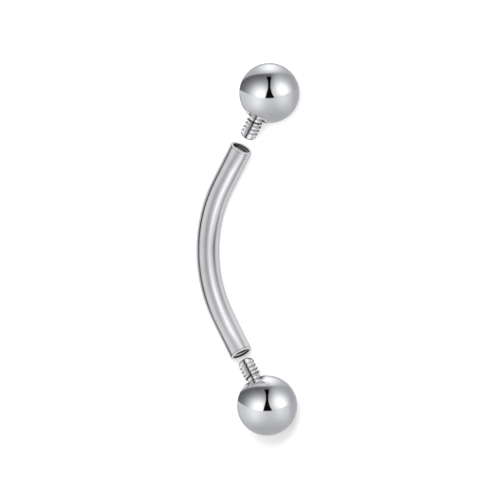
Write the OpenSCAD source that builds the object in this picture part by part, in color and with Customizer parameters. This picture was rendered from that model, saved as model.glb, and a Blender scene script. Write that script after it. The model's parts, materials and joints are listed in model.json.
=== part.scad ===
// Curved eyebrow barbell: a bent bar with a threaded socket in each end, and two balls
// on threaded screws, shown unscrewed and drawn straight out of their sockets.
// Millimetres. The bar's chord runs along X, its open side faces -Y, and it lies on Z = 0.

/* [Bar] */
// Thickness of the bar, 16 gauge
bar_d = 1.2; // [1.1:0.05:1.6]
// Radius of the bend, to the middle of the bar
bend_r = 6.5; // [5:0.25:10]
// Half of the angle that the bend turns through, in degrees
bend_half = 32.4; // [24:0.4:40]
// Length of each straight end, from the bend to the mouth
straight_l = 2.32; // [2.24:0.04:4]
// Bevel round the outside of each mouth
mouth_bevel = 0.06; // [0.02:0.01:0.08]

/* [Socket] */
// Running room round the thread's crests in a socket, on the radius
thread_room = 0.02; // [0.01:0.005:0.04]
// Depth of each socket's full bore, from the mouth
socket_l = 1.8; // [1.6:0.05:1.9]
// Countersink at each mouth, on the radius and in depth
countersink = 0.03; // [0.01:0.01:0.05]

/* [Screw] */
// Diameter over the thread's crests, M0.9
thread_d = 0.88; // [0.8:0.02:0.9]
// Pitch of the thread, M0.9
thread_pitch = 0.225; // [0.2:0.005:0.25]
// Depth of the thread, from crest to root
thread_depth = 0.115; // [0.08:0.005:0.14]
// How far the screw stands out past the ball's round outline
screw_reach = 1.245; // [1.1:0.05:1.35]
// Length of the smooth bullet nose
nose_l = 0.3; // [0.2:0.02:0.4]
// How deep the screw's plain shank sits below the seat, inside the ball
shank_l = 0.9; // [0.6:0.1:1.1]

/* [Ball] */
// Diameter of each ball, 1/8 inch
ball_d = 3.175; // [3:0.025:4]
// Depth of the seat below the rim where it breaks through the round
seat_depth = 0.06; // [0.03:0.01:0.1]
// Depth of the dish inside the seat
dish_depth = 0.07; // [0.03:0.01:0.1]

/* [Pulled out] */
// Gap between the upper screw's nose and its mouth
upper_pull = 0.6; // [0.4:0.05:2]
// Gap between the lower screw's nose and its mouth
lower_pull = 0.335; // [0.3:0.005:2]

/* [Hidden] */

$fn = 96;
bar_r = bar_d / 2;
ball_r = ball_d / 2;
end_r = bar_r - 0.002; // a straight end is a hair thinner, so no two surfaces coincide
root_l = 0.05; // how far a straight end starts inside the bend
over = 0.2; // how far a cutter runs past the surface it opens

// Socket
socket_r = thread_d / 2 + thread_room;
drill_half_angle = 59;
drill_point_l = socket_r / tan(drill_half_angle);

// Seat of each ball, measured from the ball's centre
seat_room = 0.03; // between the bar's side and the wall round the seat
recess_r = bar_r + seat_room;
rim_z = sqrt(ball_r * ball_r - recess_r * recess_r);
seat_z = rim_z - seat_depth;
dish_share = 0.8; // of the bar's radius
dish_r = dish_share * bar_r;

// Screw, measured back from its nose, which is at z = 0 and points along -Z
crest_r = thread_d / 2;
root_r = crest_r - thread_depth;
tip_from_centre = ball_r + screw_reach;
screw_top = tip_from_centre - seat_z + shank_l;
bare_neck_l = 0.02; // plain stretch before the ball's round outline
thread_end = screw_reach - bare_neck_l;
fade = thread_pitch; // the thread dies away over one pitch
plain_nose = 0.6; // share of the nose that carries no thread
neck_over_root = 0.005; // how far the plain shank stands over the thread's root
shank_r = root_r + neck_over_root;
shank_gap = 0.01; // between the shank and its hole, all round
shank_hole_r = shank_r + shank_gap;
around = 18;      // facets round the screw
per_pitch = 8;    // rings for each turn of thread
nose_steps = [0.06, 0.2, 0.42, 0.7]; // rings on the nose, as shares of its length
last_gap = 0.01;  // the last ring on the thread lies at least this far before its end
tooth_foot = 0.375; // half of a tooth's foot, as a share of the pitch
flank = 0.3125;     // a tooth's flank, as a share of the pitch

// Mouths of the bar, seen flat: the top of the bend is at the origin, the open side is -Y
half_chord = bend_r * sin(bend_half) + straight_l * cos(bend_half);
sagitta = bend_r * (1 - cos(bend_half)) + straight_l * sin(bend_half);

// Centre of each ball: how far past its mouth, along the chord and to the open side
upper_out = tip_from_centre + upper_pull;
lower_out = tip_from_centre + lower_pull;
upper_x = half_chord + upper_out * cos(bend_half);
lower_x = half_chord + lower_out * cos(bend_half);
upper_y = sagitta + upper_out * sin(bend_half);
lower_y = sagitta + lower_out * sin(bend_half);

// The bar lies on the top of its bend and on both balls
mean_y = (upper_y * lower_x + lower_y * upper_x) / (upper_x + lower_x);
rest_tilt = asin((ball_r - bar_r) / mean_y);
rest_lean = atan((upper_y - lower_y) * sin(rest_tilt) / (upper_x + lower_x));
shift_x = ((lower_x - upper_x) * cos(rest_lean)
          - (upper_y + lower_y) * sin(rest_tilt) * sin(rest_lean)) / 2;
shift_y = (max(upper_y, lower_y) * cos(rest_tilt) + ball_r - bar_r) / 2;

// Lays the flat bar down, with the middle of its box over the origin
module lay_down() {
    translate([shift_x, shift_y, bar_r])
        rotate([0, rest_lean, 0]) rotate([-rest_tilt, 0, 0]) children();
}

// Puts children at a mouth of the flat bar, with +Z pointing out of the socket
module at_mouth(upper) {
    translate([(upper ? 1 : -1) * half_chord, -sagitta, 0])
        rotate([0, 0, upper ? -bend_half : 180 + bend_half])
            rotate([0, 90, 0]) children();
}

// One straight end of the bar, with its bevelled mouth at z = 0. It starts inside the bend
module straight_end() {
    rotate_extrude() polygon([
        [0, -straight_l - root_l], [end_r, -straight_l - root_l],
        [end_r, -mouth_bevel], [end_r - mouth_bevel, 0], [0, 0]
    ]);
}

// The blind hole that a screw turns into, with its drill point and its countersink
module socket() {
    rotate_extrude() polygon([
        [0, -socket_l - drill_point_l], [socket_r, -socket_l], [socket_r, -countersink],
        [socket_r + countersink, 0], [socket_r + countersink, over], [0, over]
    ]);
}

module curved_bar() {
    color([0.80, 0.81, 0.82]) lay_down() difference() {
        union() {
            translate([0, -bend_r, 0])
                rotate_extrude(start = 90 - bend_half, angle = 2 * bend_half)
                    translate([bend_r, 0]) circle(r = bar_r);
            for (upper = [true, false]) at_mouth(upper) straight_end();
        }
        for (upper = [true, false]) at_mouth(upper) socket();
    }
}

// A ball about the origin, with the seat for the bar's mouth on its -Z side
module ball() {
    difference() {
        sphere(r = ball_r);
        translate([0, 0, -ball_r - over]) cylinder(r = recess_r, h = ball_r + over - seat_z);
        translate([0, 0, -seat_z])
            cylinder(r1 = dish_r, r2 = dish_r - dish_depth, h = dish_depth);
        translate([0, 0, -seat_z]) cylinder(r = shank_hole_r, h = shank_l + shank_gap);
    }
}

// 0 below a, 1 above b, and a smooth rise between
function ease(a, b, x) = let (t = min(1, max(0, (x - a) / (b - a)))) t * t * (3 - 2 * t);

// Height of the thread, from 0 at the root to 1 at the crest, for a part of a turn
function tooth(turn) =
    let (from_crest = abs(turn - round(turn)))
    min(1, max(0, (tooth_foot - from_crest) / flank));

// Radius of the screw at a height above its nose and an angle round it
function screw_radius(z, angle) =
    let (
        root = crest_r + (root_r - crest_r) * ease(plain_nose * nose_l, nose_l + fade, z),
        crest = crest_r + (shank_r - crest_r) * ease(thread_end - fade, thread_end, z),
        low = z > thread_end - fade ? min(root, crest) : root,
        thread = low + (crest - low) * tooth(z / thread_pitch - angle / 360),
        nose = z < nose_l ? crest_r * sqrt(1 - pow(1 - z / nose_l, 2)) : crest_r
    )
    z >= thread_end ? shank_r : min(thread, nose);

// Heights of the screw's rings: close on the nose, even on the thread, one on the shank
screw_levels = concat(
    [for (share = nose_steps) share * nose_l],
    [for (z = [nose_l : thread_pitch / per_pitch : thread_end - last_gap]) z],
    [thread_end, screw_top]
);

// A whole screw, with its nose at the origin and its shank up along +Z
module screw() {
    levels = len(screw_levels);
    ring_points = [for (z = screw_levels) for (i = [0 : around - 1])
        let (angle = 360 * i / around, r = screw_radius(z, angle))
        [r * cos(angle), r * sin(angle), z]];
    nose_point = levels * around;
    top_point = nose_point + 1;
    top_ring = (levels - 1) * around;
    sides = [for (k = [0 : levels - 2]) for (i = [0 : around - 1])
        let (a = k * around + i, b = k * around + (i + 1) % around)
        each [[a, a + around, b + around], [a, b + around, b]]];
    nose = [for (i = [0 : around - 1]) [nose_point, i, (i + 1) % around]];
    top = [for (i = [0 : around - 1]) [top_point, top_ring + (i + 1) % around, top_ring + i]];
    polyhedron(
        points = concat(ring_points, [[0, 0, 0], [0, 0, screw_top]]),
        faces = concat(sides, nose, top)
    );
}

module upper_ball() {
    color([0.72, 0.73, 0.75]) lay_down() at_mouth(true) translate([0, 0, upper_out]) ball();
}

module upper_screw() {
    color([0.86, 0.87, 0.88]) lay_down() at_mouth(true) translate([0, 0, upper_pull]) screw();
}

module lower_ball() {
    color([0.72, 0.73, 0.75]) lay_down() at_mouth(false) translate([0, 0, lower_out]) ball();
}

module lower_screw() {
    color([0.86, 0.87, 0.88]) lay_down() at_mouth(false) translate([0, 0, lower_pull]) screw();
}

curved_bar();
upper_ball();
upper_screw();
lower_ball();
lower_screw();
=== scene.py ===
"""A curved eyebrow barbell, drawn apart: the bent bar and its two ball ends on their screws.

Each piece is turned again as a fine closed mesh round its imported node, with cut threads, rounded
rims and a turned seat. It is dressed in polished steel, and stands in a soft studio on a pale
surface. Lengths are in metres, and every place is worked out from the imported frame.
"""

import json
import logging
import math
from collections.abc import Callable
from dataclasses import dataclass, field
from enum import Enum

import bpy
import numpy as np
from mathutils import Matrix, Vector

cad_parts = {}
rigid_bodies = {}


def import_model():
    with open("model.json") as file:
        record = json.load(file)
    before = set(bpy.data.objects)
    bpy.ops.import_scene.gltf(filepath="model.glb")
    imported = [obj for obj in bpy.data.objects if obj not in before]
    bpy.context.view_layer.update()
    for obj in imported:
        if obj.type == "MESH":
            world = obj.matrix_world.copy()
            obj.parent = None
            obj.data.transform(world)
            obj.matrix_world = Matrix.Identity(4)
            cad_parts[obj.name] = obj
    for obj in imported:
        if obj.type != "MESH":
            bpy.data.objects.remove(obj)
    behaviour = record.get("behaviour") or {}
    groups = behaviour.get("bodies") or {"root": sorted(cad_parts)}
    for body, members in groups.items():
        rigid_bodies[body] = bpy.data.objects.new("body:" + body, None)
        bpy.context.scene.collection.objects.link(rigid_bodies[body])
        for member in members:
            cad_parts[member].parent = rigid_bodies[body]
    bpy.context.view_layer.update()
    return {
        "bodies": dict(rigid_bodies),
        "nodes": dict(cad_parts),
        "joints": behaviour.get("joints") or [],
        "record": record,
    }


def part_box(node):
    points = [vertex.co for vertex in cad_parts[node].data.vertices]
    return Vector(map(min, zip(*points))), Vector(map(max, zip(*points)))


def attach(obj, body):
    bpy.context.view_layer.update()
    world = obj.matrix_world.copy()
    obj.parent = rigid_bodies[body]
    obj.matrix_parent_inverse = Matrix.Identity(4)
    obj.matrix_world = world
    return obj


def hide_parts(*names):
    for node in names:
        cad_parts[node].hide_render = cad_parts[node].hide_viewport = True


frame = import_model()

log = logging.getLogger("barbell")

MM = 0.001
FULL_TURN = 2 * math.pi
TURNING = "turning"  # name of the vertex attribute that the finishes and the cards read
PLAIN_STEP = 0.1 * MM  # the most that rings on a plain shank or hole may be apart
BALL_POLISH = 0.72  # share of the light that a ball gives back

Colour = tuple[float, float, float]
BLACK: Colour = (0.0, 0.0, 0.0)
WHITE: Colour = (1.0, 1.0, 1.0)


class End(Enum):
    """The two ends of the barbell. The photographed bar stands upright, hence the names."""

    UPPER = "upper"
    LOWER = "lower"

    @property
    def way(self) -> int:
        """The end's side of the bar's middle, as a sign."""
        return 1 if self is End.UPPER else -1

    @property
    def socket(self) -> str:
        """Name of the mount in this end of the bar."""
        return f"{self.value}_socket"

    @property
    def body(self) -> str:
        """Name of the body that this end's ball and screw ride on."""
        return f"{self.value}_end"

    @property
    def joint(self) -> str:
        """Name of the joint that draws this end in and out."""
        return f"{self.value}_screw_in"

    def node(self, piece: str) -> str:
        """Name of this end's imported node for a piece, such as ball."""
        return f"{self.value}_{piece}"


class Slot(Enum):
    """The record's material slots."""

    BAR = "polished_bar"
    BALL = "mirror_ball"
    SCREW = "machined_screw"


# Shader maths


def both_ways(operation: str) -> tuple[Callable[..., "Signal"], Callable[..., "Signal"]]:
    """Makes an operator for the class Signal, and its reflected form.

    Args:
        operation: operation of the Math node that they add.

    Returns:
        The operator that takes the signal first, and the one that takes it second.
    """

    def signal_first(signal: "Signal", other: "Signal | float") -> "Signal":
        """The node's result with the signal first."""
        return signal.maths(operation, signal, other)

    def signal_second(signal: "Signal", other: "Signal | float") -> "Signal":
        """The node's result with the signal second."""
        return signal.maths(operation, other, signal)

    return signal_first, signal_second


class Signal:
    """A number that varies in a shader: a socket whose operators add Math nodes."""

    def __init__(self, shader: "Shader", socket: bpy.types.NodeSocket) -> None:
        """Wraps a socket of the shader's tree."""
        self.shader = shader
        self.socket = socket

    def maths(self, operation: str, *values: "Signal | float") -> "Signal":
        """The result of a Math node with this operation and these inputs, in order."""
        inputs = dict(enumerate(values))
        return self.shader.signal("ShaderNodeMath", "Value", {"operation": operation}, inputs)

    __add__, __radd__ = both_ways("ADD")
    __sub__, __rsub__ = both_ways("SUBTRACT")
    __mul__, __rmul__ = both_ways("MULTIPLY")
    __truediv__, __rtruediv__ = both_ways("DIVIDE")
    __pow__, __rpow__ = both_ways("POWER")

    def __neg__(self) -> "Signal":
        """The signal with its sign turned."""
        return self * -1.0

    def __abs__(self) -> "Signal":
        """The signal without its sign."""
        return self.maths("ABSOLUTE", self)

    def root(self) -> "Signal":
        """Square root."""
        return self.maths("SQRT", self)

    def below(self, limit: float) -> "Signal":
        """1 where the signal is below limit, 0 elsewhere."""
        return self.maths("LESS_THAN", self, limit)

    def bearing(self, ahead: "Signal") -> "Signal":
        """Angle of a direction whose sideways part is this signal, in degrees from ahead."""
        return self.maths("ARCTAN2", self, ahead) * math.degrees(1)

    def at_least(self, floor: "Signal | float") -> "Signal":
        """The larger of the signal and floor."""
        return self.maths("MAXIMUM", self, floor)

    def rise(self, low: float, high: float) -> "Signal":
        """A smooth step: 0 below low, 1 above high, and a smooth rise between."""
        step = {"Value": self, "From Min": low, "From Max": high}
        return self.shader.signal("ShaderNodeMapRange", "Result", {"interpolation_type": "SMOOTHSTEP"}, step)

    def bell(self, middle: "Signal | float", width: "Signal | float") -> "Signal":
        """A soft bump: 1 at its middle, and fallen to 1/e at its width from there."""
        away = (self - middle) / width
        return self.maths("EXPONENT", -(away * away))

    def towards(self, other: "Signal | float", share: "Signal | float") -> "Signal":
        """Blends the signal into another by a share from 0 to 1."""
        return self + (other - self) * share


class Shader:
    """A node tree being built. Every node in it comes from the method node."""

    def __init__(self, tree: bpy.types.NodeTree) -> None:
        """Empties the tree."""
        self.tree = tree
        tree.nodes.clear()

    @classmethod
    def of_material(cls, name: str) -> tuple[bpy.types.Material, "Shader"]:
        """Makes an empty material.

        Args:
            name: its name.

        Returns:
            The material, and the shader that builds in it.
        """
        made = bpy.data.materials.new(name)
        made.use_nodes = True
        return made, cls(made.node_tree)

    def node(
        self, kind: str, settings: dict | None = None, inputs: dict | None = None
    ) -> bpy.types.Node:
        """Adds a node.

        Args:
            kind: Blender's name for the node's type.
            settings: the node's own settings, which are set first.
            inputs: values, signals or sockets by input name or number.

        Returns:
            The new node.
        """
        made = self.tree.nodes.new(kind)
        for name, value in (settings or {}).items():
            setattr(made, name, value)
        for key, value in (inputs or {}).items():
            if isinstance(value, Signal):
                value = value.socket
            if isinstance(value, bpy.types.NodeSocket):
                self.tree.links.new(value, made.inputs[key])
            else:
                made.inputs[key].default_value = value
        return made

    def signal(
        self, kind: str, output: str, settings: dict | None = None, inputs: dict | None = None
    ) -> Signal:
        """One output of a new node, which is made as the method node makes it."""
        return Signal(self, self.node(kind, settings, inputs).outputs[output])

    def along(self, way: bpy.types.NodeSocket, axis: Vector) -> Signal:
        """How far a direction runs along an axis."""
        return self.signal("ShaderNodeVectorMath", "Value", {"operation": "DOT_PRODUCT"}, {0: way, 1: axis})

    def turning(self) -> bpy.types.NodeSocket:
        """The place on a turned mesh: twice across its axis and then along it, in metres."""
        return self.node("ShaderNodeAttribute", {"attribute_name": TURNING}).outputs["Vector"]

    def parts(self, vector: bpy.types.NodeSocket) -> tuple[Signal, ...]:
        """The three parts of a vector."""
        split = self.node("ShaderNodeSeparateXYZ", None, {"Vector": vector})
        return tuple(Signal(self, split.outputs[axis]) for axis in "XYZ")

    def blend(
        self, share: Signal, plain: Colour | bpy.types.NodeSocket, other: Colour, clamp: bool = True
    ) -> bpy.types.NodeSocket:
        """Blends a colour into another.

        Args:
            share: how much of the other colour there is.
            plain: a colour, or a socket that holds one.
            other: the other colour.
            clamp: whether the share is kept from 0 to 1.

        Returns:
            The socket with the blend.
        """
        first = (*plain, 1) if isinstance(plain, tuple) else plain
        settings = {"data_type": "RGBA", "clamp_factor": clamp}
        return self.node("ShaderNodeMix", settings, {"Factor": share, 6: first, 7: (*other, 1)}).outputs[2]


# Finishes

CLOUD_EDGE = (0.35, 0.75)  # values of the noise where a cloud in the polish starts and is full


@dataclass(frozen=True)
class SteelFinish:
    """Polished steel with the fine marks that its making left.

    The marks follow each piece's own turning: a vector on every vertex that holds the place
    across the axis, twice, and the distance along it, in metres.

    Attributes:
        slot: the record's slot, which also names the material.
        tint: colour of the metal.
        roughness: middle of its roughness.
        unevenness: how far the roughness wanders either way.
        mark_size: width of one mark, across its run.
        mark_stretch: how many times longer than wide a mark is along the axis.
        mark_depth: height of the marks in the surface.
        haze_size: size of the soft clouds in the polish.
        haze_tone: how much darker the metal is in a cloud.
        dull_and_shade_colour: dark colour painted as shade in hollows, where the steel is also unpolished.
        dull_roughness: its roughness there.
    """

    slot: Slot
    tint: Colour
    roughness: float
    unevenness: float
    mark_size: float
    mark_stretch: float
    mark_depth: float
    haze_size: float
    haze_tone: float
    dull_and_shade_colour: Colour = (0.10, 0.10, 0.105)
    dull_roughness: float = 0.4

    def dull_and_shade(self, off_axis: Signal, run: Signal) -> Signal | None:
        """1 where shade is painted and the polish doesn't reach, by place in millimetres, or None if there is
        none.
        """
        return None

    def material(self) -> bpy.types.Material:
        """Builds the material.

        Returns:
            A metal whose tone, roughness and bump come from its marks and clouds.
        """
        made, shader = Shader.of_material(f"{self.slot.value}_steel")
        turning = shader.turning()
        marks = self._noise(shader, turning, self.mark_size, self.mark_stretch)
        haze = self._noise(shader, turning, self.haze_size, 1.0)
        clouded = tuple(part * (1 - self.haze_tone) for part in self.tint)
        tone = shader.blend(haze.rise(*CLOUD_EDGE), self.tint, clouded)
        roughness = (marks + haze - 1) * (2 * self.unevenness) + self.roughness
        x, y, run = (part / MM for part in shader.parts(turning))
        dull_and_shade = self.dull_and_shade((x * x + y * y).root(), run)
        if dull_and_shade is not None:
            # painted shade: where the mask is set, the colour is darkened for shade in the hollows, and the
            # steel is also rougher there
            tone = shader.blend(dull_and_shade, tone, self.dull_and_shade_colour)
            roughness = roughness.towards(self.dull_roughness, dull_and_shade)
        relief = {"Strength": 1.0, "Distance": self.mark_depth, "Height": marks}
        bump = shader.node("ShaderNodeBump", None, relief)
        look = {"Base Color": tone, "Metallic": 1.0, "Roughness": roughness, "Normal": bump.outputs["Normal"]}
        metal = shader.node("ShaderNodeBsdfPrincipled", None, look)
        shader.node("ShaderNodeOutputMaterial", None, {"Surface": metal.outputs["BSDF"]})
        return made

    def _noise(
        self, shader: Shader, place: bpy.types.NodeSocket, size: float, stretch: float
    ) -> Signal:
        """A soft noise.

        Args:
            shader: where it is built.
            place: the turning of the surface.
            size: size of one grain across the axis.
            stretch: how many times longer the grain is along the axis.

        Returns:
            The noise, about 0.5 on average.
        """
        scale = Vector((1, 1, 1 / stretch)) / size
        scaled = shader.node("ShaderNodeVectorMath", {"operation": "MULTIPLY"}, {0: place, 1: scale})
        grain = {"Vector": scaled.outputs[0], "Scale": 1.0, "Detail": 3.0}
        return shader.signal("ShaderNodeTexNoise", "Fac", None, grain)


@dataclass(frozen=True)
class BarFinish(SteelFinish):
    """The bar's finish: drawn and polished outside, as cut inside its sockets.

    Lengths are in millimetres, and the shades say how much shade is painted where the steel is dull, from 0
    to 1.

    Attributes:
        bore: radius inside which the surface belongs to a socket.
        half_length: from the middle of the bar to a mouth.
        lead_in: depths where the painted shade of a socket's lead-in starts and ends.
        lead_in_blur: how far it takes to start and to end.
        lead_in_shade: its painted shade.
        deep: depth where shade is painted again.
        deep_width: how far from there that has faded to 1/e.
        deep_shade: its painted shade.
        groove: radii where the groove of the thread starts and is full.
        groove_shade: how much painted shade it adds to that of the bore.
        bore_shade: painted shade of the plain bore.
        line_depth: how far behind a mouth the turned line lies.
        line_width: its width.
        line_shade: its painted shade at the lower end.
        line_fade: how much less that is at the upper end.
    """

    bore: float = 0.505
    half_length: float = 5.996
    lead_in: tuple[float, float] = (0.02, 0.13)
    lead_in_blur: tuple[float, float] = (0.015, 0.05)
    lead_in_shade: float = 0.93
    deep: float = 0.345
    deep_width: float = 0.04
    deep_shade: float = 0.85
    groove: tuple[float, float] = (0.465, 0.50)
    groove_shade: float = 0.15
    bore_shade: float = 0.10
    line_depth: float = 0.085
    line_width: float = 0.022
    line_shade: float = 0.55
    line_fade: float = 0.3

    def dull_and_shade(self, off_axis: Signal, run: Signal) -> Signal:
        """Painted shade in the lead-in, depth and thread roots of the sockets, and in the lines behind the
        mouths.

        Args:
            off_axis: distance from the bar's axis.
            run: distance along it from the middle of the bend.

        Returns:
            How much shade is painted there, where the steel is also dull.
        """
        depth = self.half_length - abs(run)
        # painted shade: the sockets darken at their lead-in, in their depth and in the thread roots, and the
        # turned line behind each mouth darkens, more at the lower end
        started, ended = (depth.rise(at, at + blur) for at, blur in zip(self.lead_in, self.lead_in_blur))
        lead_in = started * (1 - ended) * self.lead_in_shade
        deep = depth.bell(self.deep, self.deep_width) * self.deep_shade
        wall = off_axis.rise(*self.groove) * self.groove_shade + self.bore_shade
        line_shade = self.line_shade - run.rise(-1.0, 1.0) * self.line_fade
        line = depth.bell(self.line_depth, self.line_width) * line_shade
        return line.towards(lead_in.at_least(deep).at_least(wall), off_axis.below(self.bore))


@dataclass(frozen=True)
class ScrewFinish(SteelFinish):
    """A screw's finish: bright crests, and painted shade in the roots, where the polish doesn't reach either.

    Attributes:
        flank: radii in the root of the thread and where its flank is bright, in millimetres.
        nose: where the roots start behind the tip, and where they are full, in millimetres.
        neck: where they start to end, and where they have ended, in millimetres.
        root_shade: how much shade is painted in the roots, which are also dull, from 0 to 1.
    """

    flank: tuple[float, float] = (0.335, 0.40)
    nose: tuple[float, float] = (0.15, 0.35)
    neck: tuple[float, float] = (1.10, 1.22)
    root_shade: float = 0.32

    def dull_and_shade(self, off_axis: Signal, run: Signal) -> Signal:
        """Painted shade in the roots of the thread, but not the nose nor the plain neck."""
        # painted shade: the thread roots are darkened where shade falls between the crests
        threaded = run.rise(*self.nose) * (1 - run.rise(*self.neck))
        return (1 - off_axis.rise(*self.flank)) * threaded * self.root_shade


POLISHED_BAR = BarFinish(
    slot=Slot.BAR,
    tint=(0.74, 0.745, 0.76),
    roughness=0.22,
    unevenness=0.04,
    mark_size=0.07 * MM,
    mark_stretch=60,
    mark_depth=0.010 * MM,
    haze_size=0.9 * MM,
    haze_tone=0.05,
)
MIRROR_BALL = SteelFinish(
    slot=Slot.BALL,
    tint=(0.717, 0.722, 0.728),
    roughness=0.035,
    unevenness=0.01,
    mark_size=0.25 * MM,
    mark_stretch=1,
    mark_depth=0.0001 * MM,
    haze_size=1.2 * MM,
    haze_tone=0.03,
)
MACHINED_SCREW = ScrewFinish(
    slot=Slot.SCREW,
    tint=(0.80, 0.80, 0.81),
    roughness=0.13,
    unevenness=0.04,
    mark_size=0.06 * MM,
    mark_stretch=0.2,
    mark_depth=0.0003 * MM,
    haze_size=0.3 * MM,
    haze_tone=0.06,
)


# Turned meshes

SHARPEST_SMOOTH = math.radians(38)  # edges that turn further stay sharp


def put_in_scene(name: str, data: bpy.types.ID) -> bpy.types.Object:
    """Makes an object.

    Args:
        name: its name.
        data: its mesh, light or camera.

    Returns:
        The object, linked to the scene.
    """
    made = bpy.data.objects.new(name, data)
    bpy.context.scene.collection.objects.link(made)
    return made


@dataclass(frozen=True)
class Axis:
    """A right-handed frame on a turned piece's axis.

    Attributes:
        origin: the point that heights are measured from.
        across: angle 0 of the turning.
        side: a quarter turn on.
        ahead: the way along the axis.
    """

    origin: Vector
    across: Vector
    side: Vector
    ahead: Vector

    @classmethod
    def facing(cls, origin: Vector, across: Vector, ahead: Vector) -> "Axis":
        """The frame with these two directions and the one that completes them."""
        return cls(origin, across, ahead.cross(across), ahead)

    def at(self, height: float) -> Vector:
        """The point on the axis at a height."""
        return self.origin + self.ahead * height


class TurnedSkin:
    """A closed skin made ring by ring, from a point at one end to a point at the other."""

    def __init__(self, around: int) -> None:
        """Starts an empty skin.

        Args:
            around: how many points each ring has.
        """
        self.angles = np.linspace(0, FULL_TURN, around, endpoint=False)
        self.circle = np.stack([np.cos(self.angles), np.sin(self.angles)])
        self.rings: list[np.ndarray] = []
        self.turnings: list[np.ndarray] = []

    def ring(self, axis: Axis, height: float, radius: float | np.ndarray, run: float) -> None:
        """Adds a ring.

        Args:
            axis: the frame that the ring lies across.
            height: how far along the axis it lies.
            radius: one radius, or one for each angle.
            run: distance along the piece, for the finish.
        """
        x, y = self.circle * radius
        points = np.outer(x, axis.across) + np.outer(y, axis.side) + np.array(axis.at(height))
        self.rings.append(points)
        self.turnings.append(np.stack([x, y, np.full_like(x, run)], axis=1))

    def closed(self, name: str, start: Vector, end: Vector) -> bpy.types.Object:
        """Closes both ends and makes the mesh.

        Args:
            name: name of the piece.
            start: the point that closes the first ring.
            end: the point that closes the last one.

        Returns:
            The piece, shaded smooth apart from its sharp edges.
        """
        around, count = len(self.angles), len(self.rings)
        runs = [self.turnings[0][:1] * (0, 0, 1), self.turnings[-1][:1] * (0, 0, 1)]
        points = np.concatenate([*self.rings, [start], [end]])
        turning = np.concatenate([*self.turnings, *runs])
        here = np.arange(around)
        after = np.roll(here, -1)
        levels = np.arange(count - 1)[:, None] * around
        sides = np.stack(
            [levels + here, levels + after, levels + around + after, levels + around + here], axis=2
        )
        first, last = count * around, count * around + 1
        top = (count - 1) * around
        caps = [(first, int(b), int(a)) for a, b in zip(here, after)]
        caps += [(last, int(top + a), int(top + b)) for a, b in zip(here, after)]
        mesh = bpy.data.meshes.new(name)
        mesh.from_pydata(points.tolist(), [], sides.reshape(-1, 4).tolist() + caps)
        stored = mesh.attributes.new(TURNING, "FLOAT_VECTOR", "POINT")
        stored.data.foreach_set("vector", turning.ravel())
        mesh.shade_smooth()
        mesh.set_sharp_from_angle(angle=SHARPEST_SMOOTH)
        return put_in_scene(name, mesh)


def spaced(start: float, end: float, step: float) -> list[float]:
    """Evenly spaced values from start to end, no further apart than step."""
    count = max(2, math.ceil(abs(end - start) / step) + 1)
    return np.linspace(start, end, count).tolist()


def quarter(steps: int) -> list[float]:
    """Angles through a quarter turn, in so many steps."""
    return np.linspace(0, math.pi / 2, steps + 1).tolist()


def ease(low: float, high: float, value: float) -> float:
    """0 below low, 1 above high, and a smooth rise between."""
    share = min(1.0, max(0.0, (value - low) / (high - low)))
    return share * share * (3 - 2 * share)


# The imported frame


@dataclass(frozen=True)
class Mouth:
    """One mouth of the bar.

    Attributes:
        centre: middle of the mouth's rim.
        outward: the way out of the socket.
    """

    centre: Vector
    outward: Vector


@dataclass(frozen=True)
class BarLine:
    """The bar's middle line: a straight end, a bend and a straight end, all in one plane.

    Attributes:
        apex: middle of the bend.
        tangent: the way to the upper end there.
        open_way: the way from there to the inside of the bend.
        radius: radius of the bend.
        half_turn: angle that the bend turns through on each side of the apex.
        straight: length of each straight end.
    """

    apex: Vector
    tangent: Vector
    open_way: Vector
    radius: float
    half_turn: float
    straight: float

    @classmethod
    def through(cls, lower: Mouth, upper: Mouth, apex: Vector) -> "BarLine":
        """Finds the line that leaves both mouths straight and bends evenly through the apex.

        Args:
            lower: the lower mouth.
            upper: the upper mouth.
            apex: middle of the bend.

        Returns:
            The middle line.
        """
        both = upper.outward + lower.outward
        half_turn = math.asin(both.length / 2)
        open_way = both.normalized()
        half_chord = (upper.centre - lower.centre).length / 2
        sagitta = ((upper.centre + lower.centre) / 2 - apex).dot(open_way)
        sine, cosine = math.sin(half_turn), math.cos(half_turn)
        radius = (half_chord * sine - sagitta * cosine) / (1 - cosine)
        straight = (half_chord - radius * sine) / cosine
        tangent = (upper.outward - lower.outward).normalized()
        return cls(apex, tangent, open_way, radius, half_turn, straight)

    @property
    def plane_normal(self) -> Vector:
        """The normal of the bend's plane, on the side that faces up from the surface."""
        return self.tangent.cross(-self.open_way)

    @property
    def half_length(self) -> float:
        """Length of the line from the apex to a mouth."""
        return self.radius * self.half_turn + self.straight

    def axis(self, run: float) -> Axis:
        """The frame across the bar.

        Args:
            run: distance along the line from the apex, towards the upper end.

        Returns:
            A frame whose first direction lies in the bend's plane.
        """
        bent = self.radius * self.half_turn
        turn = max(-bent, min(bent, run)) / self.radius
        ahead = self.tangent * math.cos(turn) + self.open_way * math.sin(turn)
        inward = self.open_way * math.cos(turn) - self.tangent * math.sin(turn)
        centre = self.apex + self.open_way * self.radius
        origin = centre - inward * self.radius + ahead * (run - turn * self.radius)
        return Axis(origin, self.plane_normal.cross(ahead), self.plane_normal, ahead)


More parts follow.
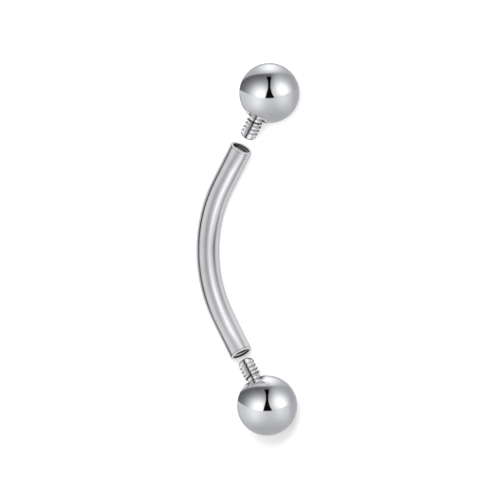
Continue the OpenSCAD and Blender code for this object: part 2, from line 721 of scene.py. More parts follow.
class PackedPlan:
    """Places and directions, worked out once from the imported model."""

    def __init__(self, packed: dict) -> None:
        """Reads the mounts and joints.

        Args:
            packed: what the frame was loaded as.
        """
        self.mounts = {m["name"]: m for m in packed["record"]["mounts"]}
        self.joints = {j["name"]: j for j in packed["joints"]}
        self.mouths = {end: self._mouth(end) for end in End}
        apex = Vector(self.mounts["piercing_bend"]["pos_m"])
        self.line = BarLine.through(self.mouths[End.LOWER], self.mouths[End.UPPER], apex)

    def _mouth(self, end: End) -> Mouth:
        """Finds a mouth.

        Args:
            end: which end's.

        Returns:
            The mouth that the end's socket mount lies behind.
        """
        mount = self.mounts[end.socket]
        outward = Vector(mount["axis"]).normalized()
        depth = mount["dims"]["length_mm"] * MM / 2 + CurvedBar.countersink
        return Mouth(Vector(mount["pos_m"]) + outward * depth, outward)

    def ball_height(self, end: End) -> float:
        """How far the middle of an end's ball lies past the bar's mouth."""
        low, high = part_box(end.node("ball"))
        return ((low + high) / 2 - self.mouths[end].centre).dot(self.mouths[end].outward)

    def travel(self, end: End) -> float:
        """How far an end goes in from where it lies."""
        return self.joints[end.joint]["range_m"][1]

    def end_axis(self, end: End, height: float) -> Axis:
        """The frame of an end's socket and screw, pointing out of the bar.

        Args:
            end: which end.
            height: where its origin lies past the mouth.

        Returns:
            The frame.
        """
        mouth = self.mouths[end]
        origin = mouth.centre + mouth.outward * height
        return Axis.facing(origin, -self.line.plane_normal, mouth.outward)


# The pieces


@dataclass(frozen=True)
class Thread:
    """An M0.9 thread.

    Attributes:
        pitch: distance between neighbouring crests.
        foot: half of a tooth's foot, as a share of the pitch.
        flank: a tooth's flank, as a share of the pitch.
        worn: how far its corners are worn round, from 0 to 1.
        rings: how many rings each turn gets.
    """

    pitch: float = 0.225 * MM
    foot: float = 0.43
    flank: float = 0.28
    worn: float = 0.6
    rings: int = 22

    def tooth(self, turns: np.ndarray) -> np.ndarray:
        """Height of the thread.

        Args:
            turns: place along the thread, in turns, whole where a crest is.

        Returns:
            0 at the root and 1 at the crest.
        """
        from_crest = np.abs(turns - np.round(turns))
        cut = np.clip((self.foot - from_crest) / self.flank, 0, 1)
        smooth = cut * cut * (3 - 2 * cut)
        return smooth * self.worn + cut * (1 - self.worn)

    @property
    def step(self) -> float:
        """Distance between rings."""
        return self.pitch / self.rings


@dataclass(frozen=True)
class CurvedBar:
    """The bent bar, with a rounded rim, a turned line and a threaded socket at each mouth.

    Attributes:
        plan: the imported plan.
        radius: radius of the bar.
        rim_round: rounding of the outside of a mouth.
        rim_steps: steps round it.
        line_depth: how far behind the mouth the turned line lies.
        line_width: its width.
        line_cut: how deep it is cut.
        bore: radius over the ridges of the socket's thread.
        groove: how deep the socket's thread is cut into the wall.
        socket: depth of the socket's full bore.
        drill_slope: radius over depth of the drill's point at the bottom.
        drill_rings: shares of that point's depth that have a ring.
        bevel_rings: shares of the countersink's depth that have one.
        around: points in a ring.
        ring_step: distance between rings on the plain bar.
        countersink: width and depth of the bevel round the bore, the same for every bar.
    """

    plan: PackedPlan
    radius: float = 0.6 * MM
    rim_round: float = 0.05 * MM
    rim_steps: int = 8
    line_depth: float = 0.085 * MM
    line_width: float = 0.03 * MM
    line_cut: float = 0.007 * MM
    bore: float = 0.46 * MM
    groove: float = 0.045 * MM
    socket: float = 1.8 * MM
    drill_slope: float = math.tan(math.radians(59))
    drill_rings: tuple[float, ...] = (0.02, 0.5)
    bevel_rings: tuple[float, ...] = (0, 0.1, 0.25, 0.5, 0.75, 0.9)
    around: int = 96
    ring_step: float = 0.08 * MM

    countersink = 0.03 * MM

    def rim_profile(self) -> list[tuple[float, float]]:
        """The turned line, the rounded rim and the lip.

        Returns:
            Depth behind the mouth and radius, from the plain bar to the bore.
        """
        line = [
            (self.line_depth + self.line_width, self.radius),
            (self.line_depth + self.line_width / 2, self.radius),
            (self.line_depth, self.radius - self.line_cut),
            (self.line_depth - self.line_width / 2, self.radius),
        ]
        crown = self.radius - self.rim_round
        rim = [
            (self.rim_round * (1 - math.sin(a)), crown + self.rim_round * math.cos(a))
            for a in quarter(self.rim_steps)
        ]
        lip = self.bore + self.countersink
        bevel = [
            (self.countersink * share, lip - self.countersink * ease(0, 1, share))
            for share in self.bevel_rings
        ]
        return line + rim + bevel

    def socket_radius(self, end: End, depth: float, angles: np.ndarray) -> np.ndarray:
        """Radius of the threaded wall.

        Its grooves stand where the screw's crests come to rest when it is screwed in. The
        screw's own angle 0 lies a quarter turn from that of the bar.

        Args:
            end: which end's socket.
            depth: depth behind the mouth.
            angles: angles round the bar's own axis.

        Returns:
            The radius at each angle.
        """
        thread = Thread()
        turned = end.way * (angles / FULL_TURN + 1 / 4)
        nose_depth = self.plan.travel(end) - EndScrew(self.plan, end).pull
        tooth = thread.tooth((nose_depth - depth) / thread.pitch - turned)
        cut = ease(0, self.countersink + thread.pitch / 2, depth)
        cut *= 1 - ease(self.socket - 2 * thread.pitch, self.socket - thread.pitch, depth)
        return self.bore + self.groove * cut * tooth

    def build(self) -> bpy.types.Object:
        """Makes the bar's mesh.

        Returns:
            One closed piece, from the bottom of the lower socket to the bottom of the upper one.
        """
        skin = TurnedSkin(self.around)
        line = self.plan.line
        reach = line.half_length
        drill = self.bore / self.drill_slope
        depths = spaced(self.countersink, self.socket, Thread().step)
        rim = self.rim_profile()
        cone = [(self.socket + drill * share, self.bore * (1 - share)) for share in self.drill_rings]

        def half(end: End) -> list[tuple[float, float | np.ndarray]]:
            """Run and radius of an end's rings, from the plain bar to the bottom of its socket."""
            wall = [(depth, self.socket_radius(end, depth, skin.angles)) for depth in depths]
            return [(end.way * (reach - depth), radius) for depth, radius in rim + wall + cone]

        plain = reach - rim[0][0]
        middle = [(run, self.radius) for run in spaced(-plain, plain, self.ring_step)[1:-1]]
        for run, radius in half(End.LOWER)[::-1] + middle + half(End.UPPER):
            skin.ring(line.axis(run), 0, radius, run)
        bottom = reach - self.socket - drill
        start, end = line.axis(-bottom).origin, line.axis(bottom).origin
        return skin.closed("curved_bar_polished", start, end)


@dataclass(frozen=True)
class EndScrew:
    """The threaded screw that stands in a ball.

    Attributes:
        plan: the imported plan.
        end: which end it is on.
        crest: radius over the thread.
        root: radius under the thread.
        neck: radius of the plain neck and shank.
        nose: length of the bullet nose.
        nose_steps: rings on it.
        plain_nose: share of the nose that carries no thread.
        thread_end: where the thread has died away, from the tip.
        top: where the shank ends inside the ball, from the tip.
        tip_to_centre: from the tip to the middle of the ball.
        around: points in a ring.
    """

    plan: PackedPlan
    end: End
    crest: float = 0.44 * MM
    root: float = 0.325 * MM
    neck: float = 0.33 * MM
    nose: float = 0.3 * MM
    nose_steps: int = 14
    plain_nose: float = 0.6
    thread_end: float = 1.225 * MM
    top: float = 2.335 * MM
    tip_to_centre: float = 2.8325 * MM
    around: int = 96

    @property
    def pull(self) -> float:
        """Gap between the screw's tip and the bar's mouth."""
        return self.plan.ball_height(self.end) - self.tip_to_centre

    def radius(self, height: float, angles: np.ndarray) -> np.ndarray:
        """Radius of the screw.

        Args:
            height: distance from the tip.
            angles: angles round the axis.

        Returns:
            The radius at each angle.
        """
        thread = Thread()
        fade = thread.pitch
        deepening = ease(self.plain_nose * self.nose, self.nose + fade, height)
        root = self.crest + (self.root - self.crest) * deepening
        dying = ease(self.thread_end - fade, self.thread_end, height)
        crest = self.crest + (self.neck - self.crest) * dying
        root = min(root, crest)
        turned = height / thread.pitch - angles / FULL_TURN
        threaded = root + (crest - root) * thread.tooth(turned)
        to_tip = max(0.0, 1 - height / self.nose)
        bullet = self.crest * math.sqrt(max(0.0, 1 - to_tip * to_tip))
        return np.minimum(threaded, bullet)

    def build(self) -> bpy.types.Object:
        """Makes the screw's mesh.

        Returns:
            One closed piece, from the tip of the nose to the end of the shank.
        """
        skin = TurnedSkin(self.around)
        axis = self.plan.end_axis(self.end, self.pull)
        nose = [self.nose * (1 - math.cos(a)) for a in quarter(self.nose_steps)[1:]]
        threaded = spaced(self.nose, self.thread_end, Thread().step)[1:]
        shank = spaced(self.thread_end, self.top, PLAIN_STEP)[1:]
        for height in nose + threaded + shank:
            skin.ring(axis, height, self.radius(height, skin.angles), height)
        return skin.closed(f"{self.end.node('screw')}_cut", axis.at(0), axis.at(self.top))


@dataclass(frozen=True)
class EndBall:
    """A polished ball with a round seat for the bar's mouth.

    Attributes:
        plan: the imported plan.
        end: which end it is on.
        radius: radius of the ball.
        seat: radius of the wall round the seat.
        seat_depth: depth of the seat below the ball's own round.
        rim_round: rounding where that wall breaks through the ball.
        rim_steps: steps round it.
        corner: rounding of the corners of the seat and the dish.
        corner_bow: how far its middle point stands in from them.
        dish: radius of the dish inside the seat.
        dish_depth: depth of the dish.
        hole: radius of the hole that the screw's shank stands in.
        hole_depth: depth of that hole below the seat.
        around: points in a ring.
        rings: rings from pole to pole.
    """

    plan: PackedPlan
    end: End
    radius: float = 1.5875 * MM
    seat: float = 0.63 * MM
    seat_depth: float = 0.06 * MM
    rim_round: float = 0.03 * MM
    rim_steps: int = 9
    corner: float = 0.01 * MM
    corner_bow: float = 0.003 * MM
    dish: float = 0.48 * MM
    dish_depth: float = 0.07 * MM
    hole: float = 0.34 * MM
    hole_depth: float = 0.91 * MM
    around: int = 192
    rings: int = 150

    def profile(self) -> list[tuple[float, float]]:
        """The ball's outline on the seat's side.

        Returns:
            Height towards the bar and radius, from the far pole to the bottom of the hole.
        """
        round_reach = self.seat + self.rim_round
        round_height = math.sqrt((self.radius - self.rim_round) ** 2 - round_reach**2)
        slope = math.atan2(round_reach, round_height)
        polar = np.linspace(0, math.pi - slope, self.rings)[1:]
        ball = [(-self.radius * math.cos(a), self.radius * math.sin(a)) for a in polar]
        turn = np.linspace(math.pi / 2 - slope, math.pi, self.rim_steps + 1)[1:]
        height, reach = self.rim_round * np.sin(turn), self.rim_round * np.cos(turn)
        rim = list(zip((round_height + height).tolist(), (round_reach + reach).tolist()))
        seat_height = math.sqrt(self.radius**2 - self.seat**2) - self.seat_depth
        floor = seat_height - self.dish_depth
        inside = [
            (seat_height + self.corner, self.seat),
            (seat_height + self.corner_bow, self.seat - self.corner_bow),
            (seat_height, self.seat - self.corner),
            (seat_height, self.dish),
            (seat_height - self.corner_bow, self.dish - self.corner_bow),
            (floor, self.dish - self.dish_depth),
            (floor, self.hole),
        ]
        shaft = [(h, self.hole) for h in spaced(floor, seat_height - self.hole_depth, PLAIN_STEP)[1:]]
        return ball + rim + inside + shaft

    def build(self) -> bpy.types.Object:
        """Makes the ball's mesh.

        Returns:
            One closed piece, from the far pole to the bottom of the hole, its seat to the bar.
        """
        skin = TurnedSkin(self.around)
        outward = self.plan.end_axis(self.end, self.plan.ball_height(self.end))
        axis = Axis.facing(outward.origin, outward.across, -outward.ahead)
        profile = self.profile()
        for height, radius in profile:
            skin.ring(axis, height, radius, height)
        far_pole, bottom = axis.at(-self.radius), axis.at(profile[-1][0])
        return skin.closed(f"{self.end.node('ball')}_mirror", far_pole, bottom)


@dataclass
class Barbell:
    """The whole barbell.

    Attributes:
        plan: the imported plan.
        materials: the finish of each slot, once made.
    """

    plan: PackedPlan
    materials: dict[Slot, bpy.types.Material] = field(default_factory=dict)

    def dress(self, piece: bpy.types.Object, node: str, body: str, slot: Slot) -> None:
        """Puts a piece in its node's place and gives it its finish.

        Args:
            piece: the new mesh.
            node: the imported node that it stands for.
            body: the body that it rides on.
            slot: the record's slot that its finish comes from.
        """
        piece.data.materials.append(self.materials[slot])
        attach(piece, body)
        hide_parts(node)
        log.info("%s: %d faces, rides on %s", piece.name, len(piece.data.polygons), body)

    def build(self) -> None:
        """Makes the bar and both ends."""
        for finish in (POLISHED_BAR, MIRROR_BALL, MACHINED_SCREW):
            self.materials[finish.slot] = finish.material()
        self.dress(CurvedBar(self.plan).build(), "curved_bar", "bar", Slot.BAR)
        for end in End:
            ball, screw = EndBall(self.plan, end).build(), EndScrew(self.plan, end).build()
            self.dress(ball, end.node("ball"), end.body, Slot.BALL)
            self.dress(screw, end.node("screw"), end.body, Slot.SCREW)


# The studio


@dataclass(frozen=True)
class Viewpoint:
    """The photograph's angle on the barbell, as if from far away.

    The bar lies on its bend and both balls. The camera looks down on it, with the upper end
    at the top of the picture.

    Attributes:
        line: the bar's middle line.
        swing: angle from the bend's plane normal to the open side.
        lean: angle by which the line of sight leans to the upper end.
        distance: from the camera to the bar.
        pixels_per_mm: scale of the picture at the bar.
        picture: width of the picture in pixels.
        right_of_apex: how far right of the bend's middle the picture's middle lies.
        above_apex: how far above it.
    """

    line: BarLine
    swing: float = math.radians(37.43)
    lean: float = math.radians(1.81)
    distance: float = 600 * MM
    pixels_per_mm: float = 18.925
    picture: int = 500
    right_of_apex: float = 2.239 * MM
    above_apex: float = -0.001 * MM

    @property
    def right(self) -> Vector:
        """The way to the right in the picture."""
        return self.line.open_way * math.cos(self.swing) - self.line.plane_normal * math.sin(self.swing)

    @property
    def towards(self) -> Vector:
        """The way from the bar to the camera."""
        level = self.line.open_way * math.sin(self.swing) + self.line.plane_normal * math.cos(self.swing)
        return level * math.cos(self.lean) + self.line.tangent * math.sin(self.lean)

    @property
    def up(self) -> Vector:
        """The way up in the picture."""
        return self.towards.cross(self.right)

    def build(self) -> bpy.types.Object:
        """Makes the scene's camera.

        Returns:
            The camera.
        """
        data = bpy.data.cameras.new("camera")
        data.lens = data.sensor_width * self.pixels_per_mm / MM * self.distance / self.picture
        data.clip_start, data.clip_end = self.distance / 10, self.distance * 10
        camera = put_in_scene("camera", data)
        target = self.line.apex + self.right * self.right_of_apex + self.up * self.above_apex
        turn = Matrix((self.right, self.up, self.towards)).transposed()
        camera.matrix_world = Matrix.Translation(target + self.towards * self.distance) @ turn.to_4x4()
        bpy.context.scene.camera = camera
        return camera


@dataclass(frozen=True)
class Softbox:
    """A softbox on the wall of the tent, as a polished ball shows it.

    Attributes:
        x: where its middle lies across the ball.
        y: where it lies up the ball.
        width: how far across it has faded to 1/e.
        height: how far up it has.
        glow: brightness in its middle.
        slant: how much further left it lies for each step up.
    """

    x: float
    y: float
    width: float
    height: float
    glow: float
    slant: float = 0.0

    def shine(self, x: Signal, y: Signal) -> Signal:
        """Its brightness at a place on the ball."""
        return x.bell(self.x - y * self.slant, self.width) * y.bell(self.y, self.height) * self.glow


@dataclass(frozen=True)
class Tent:
    """A tent of soft light, laid out as a polished ball shows it from the photograph's angle.

    Brightness is what such a ball shows, from 0 to 1.

    Attributes:
        x: place across the ball, from -1 at its left to 1 at its right.
        y: place up the ball, from -1 to 1.
        left_box: the softbox left of the dark gap in the wall.
        right_box: the one right of it.
    """

    x: Signal
    y: Signal
    left_box: Softbox = Softbox(-0.28, -0.05, 0.38, 0.34, 1.05)
    right_box: Softbox = Softbox(0.475, 0.09, 0.26, 0.31, 0.85, slant=0.25)

    def horizon(self) -> Signal:
        """Height of the edge where the table meets the wall."""
        lowest_at, lowest, bend = -0.05, -0.195, 0.36
        return (self.x - lowest_at) ** 2 * bend + lowest

    def ceiling(self) -> Signal:
        """Height of the edge where the wall meets the ceiling."""
        middle, tilt, droop = 0.635, 0.045, 0.28
        return middle + self.x * tilt - self.x**4 * droop

    def gap(self) -> Signal:
        """The dark gap between the two softboxes, narrow in the middle and flared at its ends.

        Returns:
            1 in the gap and 0 elsewhere.
        """
        x, y = self.x, self.y
        waist, foot_flare, head_flare = 0.043, 0.118, 0.050
        foot_lean, head_lean, blur = 0.03, 0.015, 0.015
        foot = ((0.20 - y) / 0.38).at_least(0.0) ** 1.5
        half = foot * foot_flare + y.rise(0.32, 0.62) * head_flare + waist
        low = ((0.02 - y) / 0.20).at_least(0.0) ** 2
        middle = low * foot_lean - y.rise(0.40, 0.56) * head_lean
        across = 1 - (abs(x - middle) - half).rise(-blur, blur)
        return across * y.rise(-0.21, -0.18) * (1 - y.rise(0.51, 0.58))

    def wall(self) -> Signal:
        """The wall, with a softbox on each side of the dark gap.

        Returns:
            Its brightness.
        """
        far_left, lift, beside_gap, black = 0.085, 0.235, 0.35, 0.992
        plain = self.x.rise(-0.30, 0.35) * lift + far_left
        lit = plain + self.left_box.shine(self.x, self.y) + self.right_box.shine(self.x, self.y)
        return lit * (1 - self.x.bell(0.02, 0.13) * beside_gap) * (1 - self.gap() * black)

    def table(self) -> Signal:
        """The pale table, with the glow of each softbox on it.

        Returns:
            Its brightness.
        """
        far, fall, left_glow, right_glow = 0.54, 0.14, 0.28, 0.17
        below = -self.y
        left = self.x.bell(-0.40, 0.28) * (1 - below.rise(0.30, 0.80)) * left_glow
        right = self.x.bell(0.44, 0.21) * (1 - below.rise(0.15, 0.70)) * right_glow
        return far - below.rise(0.15, 0.85) * fall + left + right

    def top(self) -> Signal:
        """The ceiling, with its long softbox.

        Returns:
            Its brightness.
        """
        plain, haze, glow = 0.40, 0.10, 0.50
        softbox = self.x.bell(0.02, 0.34) * self.y.rise(0.62, 0.82)
        return self.x.bell(0.05, 0.45) * haze + softbox * glow + plain

    def whole(self) -> Signal:
        """The whole tent: the table, wall, ceiling, right side and rim.

        Returns:
            Its brightness.
        """
        x, y = self.x, self.y
        right_side, side_share, rim, left_rim_later = 0.355, 0.75, 0.40, 0.06
        front = self.table().towards(self.wall(), (y - self.horizon()).rise(-0.012, 0.035))
        front = front.towards(self.top(), (y - self.ceiling()).rise(-0.03, 0.045))
        front = front.towards(right_side, x.rise(0.66, 0.86) * side_share)
        later = (-x).rise(0.5, 0.9) * y.rise(-0.05, 0.05) * left_rim_later
        return front.towards(rim, ((x * x + y * y).root() - later).rise(0.90, 0.99))


@dataclass(frozen=True)
class Studio:
    """The studio round the barbell: a tent of light, a pale surface, a key light and the camera.

    The tent is fixed in the room, whatever the camera does.

    Attributes:
        view: the photograph's angle.
        polish: share of the light that the balls give back.
        shade_tint: colour that the tent's darkest places lean to.
        dome: brightness of the plain white dome that lights the surface.
        behind: what keeps the tent finite right behind the barbell.
        surface_tone: colour of the pale surface.
        surface_size: its width.
        key_power: power of the soft key light, in watts.
        key_size: its width.
        key_height: how far before the bar it hangs.
        key_reach: how far above the middle of the bend it hangs in the picture.
        key_aside: how far left of it.
    """

    view: Viewpoint
    polish: float = BALL_POLISH
    shade_tint: Colour = (0.98, 0.99, 1.05)
    dome: float = 1.12
    behind: float = 0.001
    surface_tone: float = 0.9
    surface_size: float = 4.0
    key_power: float = 0.0155
    key_size: float = 30 * MM
    key_height: float = 40 * MM
    key_reach: float = 12.5 * MM
    key_aside: float = 3.5 * MM

    def build_world(self) -> None:
        """Hangs the tent in the world. Seen directly, the world is plain white."""
        world = bpy.data.worlds.new("studio_tent")
        world.use_nodes = True
        bpy.context.scene.world = world
        shader = Shader(world.node_tree)
        way = shader.node("ShaderNodeTexCoord").outputs["Generated"]
        stretch = ((shader.along(way, self.view.towards) + 1) * 2).at_least(self.behind).root()
        x = shader.along(way, self.view.right) / stretch
        y = shader.along(way, self.view.up) / stretch
        seen, matt = (shader.signal("ShaderNodeLightPath", f"Is {ray} Ray") for ray in ("Camera", "Diffuse"))
        tent = Tent(x, y).whole()
        light = (tent / self.polish).towards(self.dome, matt).towards(1.0, seen)
        tint = shader.blend((1 - matt) * (1 - seen) * (1 - tent), WHITE, self.shade_tint)
        glow = shader.node("ShaderNodeBackground", None, {"Color": tint, "Strength": light})
        shader.node("ShaderNodeOutputWorld", None, {"Surface": glow.outputs["Background"]})
        world.cycles.sampling_method = "NONE"

    def build_surface(self) -> None:
        """Lays the pale surface that the barbell rests on. The polished steel sees the tent only."""
        mesh = bpy.data.meshes.new("surface")
        half = self.surface_size / 2
        corners = [(-half, -half, 0), (half, -half, 0), (half, half, 0), (-half, half, 0)]
        mesh.from_pydata(corners, [], [(0, 1, 2, 3)])
        surface = put_in_scene("surface", mesh)
        material, shader = Shader.of_material("pale_surface")
        matt = {"Color": (*[self.surface_tone] * 3, 1), "Roughness": 0.5}
        diffuse = shader.node("ShaderNodeBsdfDiffuse", None, matt)
        shader.node("ShaderNodeOutputMaterial", None, {"Surface": diffuse.outputs["BSDF"]})
        mesh.materials.append(material)
        surface.visible_glossy = False

    def build_key(self) -> None:
        """Hangs the soft key light before the upper end. It lights the surface only."""
        data = bpy.data.lights.new("key", "AREA")
        data.shape, data.size, data.energy = "DISK", self.key_size, self.key_power
        key = put_in_scene("key", data)
        key.visible_glossy = False
        view = self.view
        above = view.up * self.key_reach - view.right * self.key_aside
        key.location = view.line.apex + view.towards * self.key_height + above
        key.rotation_mode = "QUATERNION"
        key.rotation_quaternion = view.towards.to_track_quat("Z", "Y")

    def build(self) -> None:
        """Sets up the light, the surface and the camera."""
        self.build_world()
        self.build_surface()
        self.build_key()
        self.view.build()
        bpy.context.scene.view_settings.view_transform = "Standard"
        log.info("studio: camera %.0f mm away", self.view.distance / MM)


@dataclass(frozen=True, kw_only=True)
class Card:
    """A light card of the studio. It stays in the room, and only polished steel sees it.

    It shines on one side and is clear on the other. Its paint goes by the place on the card,
    twice across its axis and once along it, in metres, and by whether that place is seen from
    behind. Brightness is what the polished piece before it shows, from 0 to 1.

    Attributes:
        name: name of the card.
        radius: its radius.
        polish: share of the light that the piece gives back.
        tint: colour of the card.
        around: points in a ring.
    """

    name: str
    radius: float
    polish: float
    tint: Colour = WHITE
    around: int = 96

    def mesh(self) -> bpy.types.Object:
        """Makes the card without its paint."""
        raise NotImplementedError

    def paint(self, x: Signal, y: Signal, run: Signal, behind: Signal) -> tuple[Signal, Signal]:
        """Brightness at a place, and whether it shines there: 1 if so, and 0 if it is clear."""
        raise NotImplementedError

    def material(self) -> bpy.types.Material:
        """Builds the card's material.

        Returns:
            The paint where it shines, and nothing elsewhere.
        """
        made, shader = Shader.of_material(self.name)
        made.cycles.emission_sampling = "NONE"
        behind = shader.signal("ShaderNodeNewGeometry", "Backfacing")
        brightness, shown = self.paint(*shader.parts(shader.turning()), behind)
        colour = shader.blend(brightness / self.polish, BLACK, self.tint, clamp=False)
        shine = shader.node("ShaderNodeEmission", None, {"Color": colour})
        clear = shader.node("ShaderNodeBsdfTransparent")
        both = {0: shown, 1: clear.outputs[0], 2: shine.outputs[0]}
        mixed = shader.node("ShaderNodeMixShader", None, both)
        shader.node("ShaderNodeOutputMaterial", None, {"Surface": mixed.outputs[0]})
        return made

    def hang(self) -> None:
        """Makes the card, and hides it from the camera, from matt light and from shadows."""
        card = self.mesh()
        card.data.materials.append(self.material())
        card.visible_camera = card.visible_diffuse = card.visible_shadow = False


@dataclass(frozen=True, kw_only=True)
class Sleeve(Card):
    """A slim sleeve of light card round a straight or bent piece.

    Its inside gives the piece in it one set of bands along the whole length. Angles are in
    degrees round the piece, 0 towards the photograph's viewpoint and positive to the right.

    Attributes:
        line: the bar's middle line, on which the sleeve runs.
        view: the photograph's angle.
        start: where the sleeve starts, as a distance along the line from the apex.
        end: where it ends.
        caps: brightness of the inside of the cards that close its start and its end.
        cap_edge: share of the radius inside which a place lies on such a card.
        ring_step: distance between rings.
    """

    line: BarLine
    view: Viewpoint
    start: float
    end: float
    radius: float = 1.2 * MM
    polish: float = 0.74
    tint: Colour = (1.0, 1.0, 1.013)
    caps: tuple[float, float] = (0.62, 0.62)
    cap_edge: float = 0.999
    ring_step: float = 0.1 * MM

    def axis(self, run: float) -> Axis:
        """The frame across the sleeve.

        Args:
            run: distance along the line from the apex.

        Returns:
            A frame whose first direction leans to the viewpoint.
        """
        piece = self.line.axis(run)
        towards = self.view.towards
        across = (towards - piece.ahead * towards.dot(piece.ahead)).normalized()
        return Axis.facing(piece.origin, across, piece.ahead)

    def mesh(self) -> bpy.types.Object:
        """Makes the tube.

        Returns:
            The bare tube, closed at both ends.
        """
        skin = TurnedSkin(self.around)
        for run in spaced(self.start, self.end, self.ring_step):
            skin.ring(self.axis(run), 0, self.radius, run)
        return skin.closed(self.name, self.axis(self.start).origin, self.axis(self.end).origin)

    def bands(self, angle: Signal, run: Signal) -> Signal:
        """Brightness of the inside at an angle, and a distance in millimetres along the line."""
        raise NotImplementedError

    def cap(self, bands: Signal, late: Signal, ahead: Signal) -> Signal:
        """Brightness where the tube is closed: late is 0 at its start, and 1 at its end."""
        return late * (self.caps[1] - self.caps[0]) + self.caps[0]

    def paint(self, x: Signal, y: Signal, run: Signal, behind: Signal) -> tuple[Signal, Signal]:
        """Paints bands on the inside of the tube, and a cap at each end.

        Args:
            x: place across the sleeve, to the viewpoint.
            y: the same, a quarter turn on.
            run: distance along the line.
            behind: 1 where the tube is seen from inside, and 0 outside.

        Returns:
            The brightness, and where it shines.
        """
        on_cap = (x * x + y * y).root().below(self.radius * self.cap_edge)
        bands = self.bands(y.bearing(x), run / MM)
        cap = self.cap(bands, run.rise(self.start, self.end), x / MM)
        return bands.towards(cap, on_cap), behind


@dataclass(frozen=True)
class Band:
    """A soft band of light or shade that runs along a sleeve.

    Attributes:
        way: angle of its middle.
        width: angle from there at which it has faded to 1/e.
        tone: how much it adds to the brightness.
    """

    way: Signal | float
    width: Signal | float
    tone: Signal | float

    def glow(self, angle: Signal) -> Signal:
        """What it adds at an angle."""
        return angle.bell(self.way, self.width) * self.tone


@dataclass(frozen=True, kw_only=True)
class BarSleeve(Sleeve):
    """The sleeve round the bar: a dark line on the left, and a bright strip between two greys."""

    def bands(self, angle: Signal, run: Signal) -> Signal:
        """Brightness of the inside, a little quieter in the middle of the bend and at the ends.

        Args:
            angle: angle round the bar.
            run: distance along the line from the middle of the bend, in millimetres.

        Returns:
            What the polished bar shows there.
        """
        middle, ends = run.bell(0.3, 1.6), abs(run).rise(4.3, 5.9)
        low, high = (-run).rise(2.5, 4.5), run.rise(0.0, 1.5)
        light = 0.625 + low * 0.02 - abs(angle).rise(95, 140) * 0.18
        right_edge = angle.rise(98, 122) * (1 - low) * 0.12
        edge_line = Band(way=(-run).rise(1.5, 4.5) * -9 - 82, width=9.0, tone=-0.97)
        left_grey = Band(
            way=ends * 10 - low * 10 - 16,
            width=17.0,
            tone=low * 0.05 - middle * 0.05 - 0.25,
        )
        shine = Band(
            way=ends * 15.5 - middle * 3 - low * 7 + high * 8 + 13.5,
            width=12.0,
            tone=0.42 - middle * 0.27 - ends * 0.29,
        )
        right_grey = Band(
            way=high * 8 - middle - low * 5 + 52,
            width=middle * 2 - low * 3 + 12,
            tone=middle**2 * -0.17 - 0.32,
        )
        bands = (band.glow(angle) for band in (edge_line, left_grey, shine, right_grey))
        darkest = 0.02
        return sum(bands, light - right_edge).at_least(darkest)


@dataclass(frozen=True, kw_only=True)
class ScrewSleeve(Sleeve):
    """The sleeve round a screw: a black strip left of the middle, with a bright one beside it.

    Attributes:
        far_side: share of the caps' light on the side away from the viewpoint.
    """

    radius: float = 0.9 * MM
    far_side: float = 0.22

    def bands(self, angle: Signal, run: Signal) -> Signal:
        """Brightness of the inside, the same along the screw.

        Args:
            angle: angle round the screw.
            run: distance along the line, which makes no difference here.

        Returns:
            What the polished screw shows there.
        """
        left = 0.80 - angle.rise(-65, -25) * 0.42
        plain = left.towards(0.50, angle.rise(-20, 0))
        bright = (Band(way=26.0, width=20.0, tone=0.45), Band(way=84.0, width=12.0, tone=0.25))
        black_strip = 1 - abs(angle + 10).rise(6.0, 12.0)
        limb = abs(angle).rise(104, 124)
        lit = sum((band.glow(angle) for band in bright), plain)
        return lit * (1 - black_strip * 0.96) * (1 - limb * 0.65)

    def cap(self, bands: Signal, late: Signal, ahead: Signal) -> Signal:
        """The bands run on over the cards, dimmer towards the ball and on the far side."""
        lit = ahead.rise(0.1, 0.42) * (1 - self.far_side) + self.far_side
        return bands * super().cap(bands, late, ahead) * lit


@dataclass(frozen=True, kw_only=True)
class Screen(Card):
    """A soft-edged card between the balls. One ball sees it, and its other side is clear.

    Attributes:
        axis: its frame, which points to that ball.
        depth: how far behind its face the point of its back lies.
        glow: brightness in its middle.
        slope: how much brighter it is for each millimetre to the surface.
        fade: shares of the radius where the glow starts to fade and where it is gone.
    """

    name: str = "screen"
    axis: Axis
    depth: float
    glow: float
    slope: float
    radius: float = 1.15 * MM
    polish: float = BALL_POLISH
    fade: tuple[float, float] = (0.75, 0.98)
    around: int = 64

    def mesh(self) -> bpy.types.Object:
        """Makes a disc with a shallow cone behind it.

        Returns:
            The bare card.
        """
        skin = TurnedSkin(self.around)
        skin.ring(self.axis, 0, self.radius, 0)
        return skin.closed(self.name, self.axis.at(-self.depth), self.axis.at(0))

    def paint(self, x: Signal, y: Signal, run: Signal, behind: Signal) -> tuple[Signal, Signal]:
        """A glow that fades out at the rim."""
        inner = 1 - (x * x + y * y).root().rise(*(self.radius * share for share in self.fade))
        return self.glow - x / MM * self.slope, inner * (1 - behind)


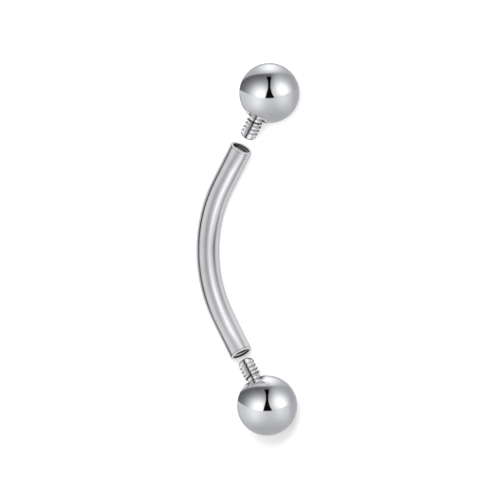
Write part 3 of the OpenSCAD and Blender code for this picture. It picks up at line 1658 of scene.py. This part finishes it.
@dataclass(frozen=True)
class Cards:
    """All the light cards round the barbell.

    Attributes:
        plan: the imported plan.
        view: the photograph's angle.
        past_mouth: how far the bar's sleeve reaches past each mouth.
        before_tip: how far before the tip of a screw its sleeve starts.
        screw_reach: how far past the tip it ends.
        screw_caps: brightness of that sleeve's cards before the tip and at the ball.
        screen_gap: how far each screen stands from the middle between the balls.
        glow: brightness of the screen before each ball.
        slope: how much brighter that is for each millimetre to the surface.
    """

    plan: PackedPlan
    view: Viewpoint
    past_mouth: float = 0.15 * MM
    before_tip: float = 0.1 * MM
    screw_reach: float = 1.4 * MM
    screw_caps: tuple[float, float] = (0.9, 0.2)
    screen_gap: float = 0.2 * MM
    glow: tuple[float, float] = (0.413, 0.68)
    slope: tuple[float, float] = (0.008, 0.147)

    def sleeves(self) -> list[Sleeve]:
        """The sleeves.

        Returns:
            The bar's and both screws'.
        """
        on_line = {"line": self.plan.line, "view": self.view}
        length = self.plan.line.half_length
        reach = length + self.past_mouth
        made = [BarSleeve(name="bar_sleeve", start=-reach, end=reach, **on_line)]
        for end in End:
            tip = length + EndScrew(self.plan, end).pull
            start, stop = sorted(end.way * at for at in (tip - self.before_tip, tip + self.screw_reach))
            name, caps = f"{end.value}_screw_sleeve", self.screw_caps[:: end.way]
            made.append(ScrewSleeve(name=name, start=start, end=stop, caps=caps, **on_line))
        return made

    def screens(self) -> list[Screen]:
        """The screens.

        Returns:
            Two that stand between the balls, so that neither ball mirrors the other.
        """
        upper, lower = (self.plan.end_axis(end, self.plan.ball_height(end)).origin for end in End)
        ahead = (upper - lower).normalized()
        across = self.plan.line.plane_normal
        made = []
        for end, glow, slope in zip(End, self.glow, self.slope):
            face = (upper + lower) / 2 + ahead * end.way * self.screen_gap
            axis = Axis.facing(face, across, ahead * end.way)
            made.append(Screen(axis=axis, depth=self.screen_gap / 2, glow=glow, slope=slope))
        return made

    def build(self) -> None:
        """Puts them all up."""
        for card in self.sleeves() + self.screens():
            card.hang()


def main() -> None:
    """Builds the barbell and its studio."""
    logging.basicConfig(level=logging.INFO, format="%(name)s: %(message)s")
    plan = PackedPlan(frame)
    line = plan.line
    log.info("bend radius %.3f mm, straight ends %.3f mm", line.radius / MM, line.straight / MM)
    Barbell(plan).build()
    view = Viewpoint(line)
    Studio(view).build()
    Cards(plan, view).build()


if __name__ == "__main__":
    main()
